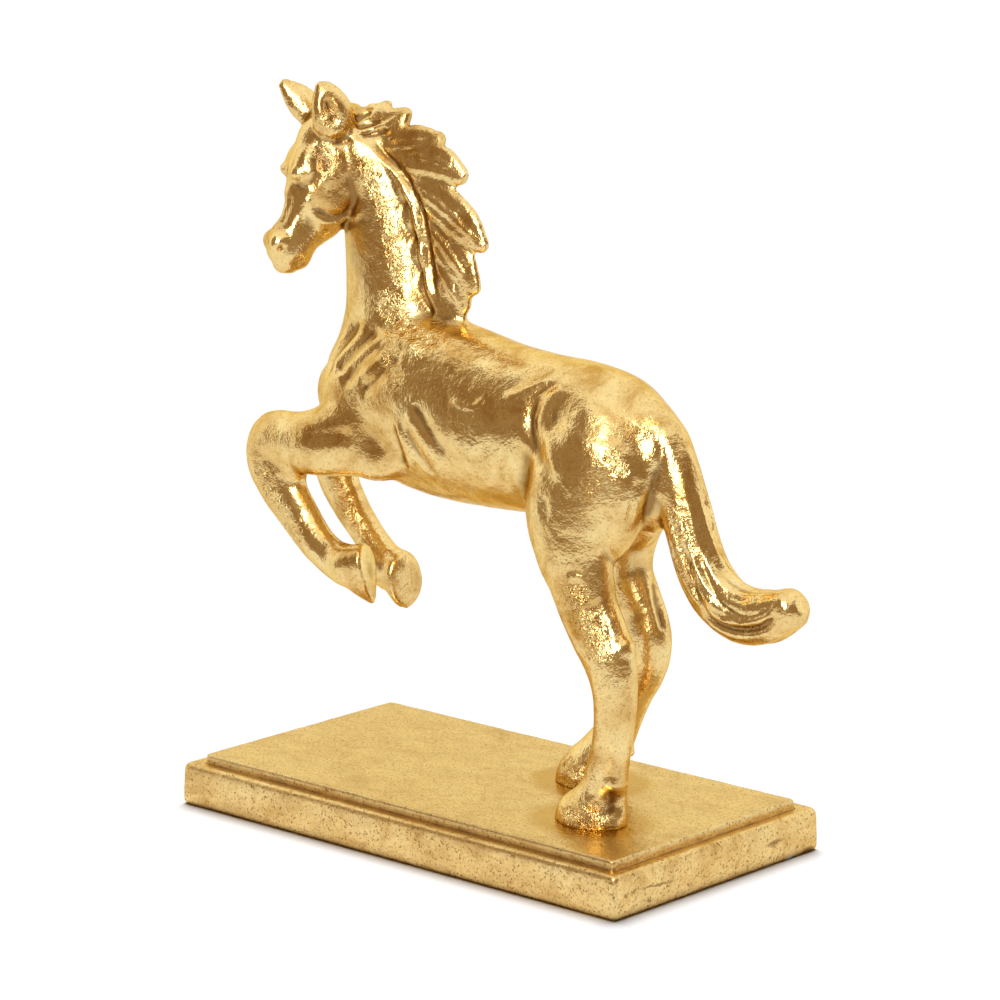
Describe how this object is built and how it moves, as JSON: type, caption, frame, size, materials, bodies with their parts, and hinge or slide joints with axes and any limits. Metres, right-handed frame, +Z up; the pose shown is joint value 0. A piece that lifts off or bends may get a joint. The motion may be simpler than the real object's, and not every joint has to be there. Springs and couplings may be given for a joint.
{
  "type": "gilded cast iron horse sculpture",
  "caption": "Cast horse rearing on its hind legs with its head turned aside, its mane swept back and its tail curled, gilded, on a stepped rectangular plinth.",
  "frame": {"origin": "centre of the plinth's underside", "axes": "+Z up, the horse faces -X, its left side is towards -Y"},
  "size_m": [0.2102, 0.0958, 0.23],
  "materials": {
    "horse": "bright gold leaf over the casting, with fine cracks, pits and brown in the hollows",
    "plinth": "satin gold leaf with brown in the steps, a little rubbed"
  },
  "bodies": {
    "root": {"horse": "horse", "plinth": "plinth"}
  },
  "joints": []
}
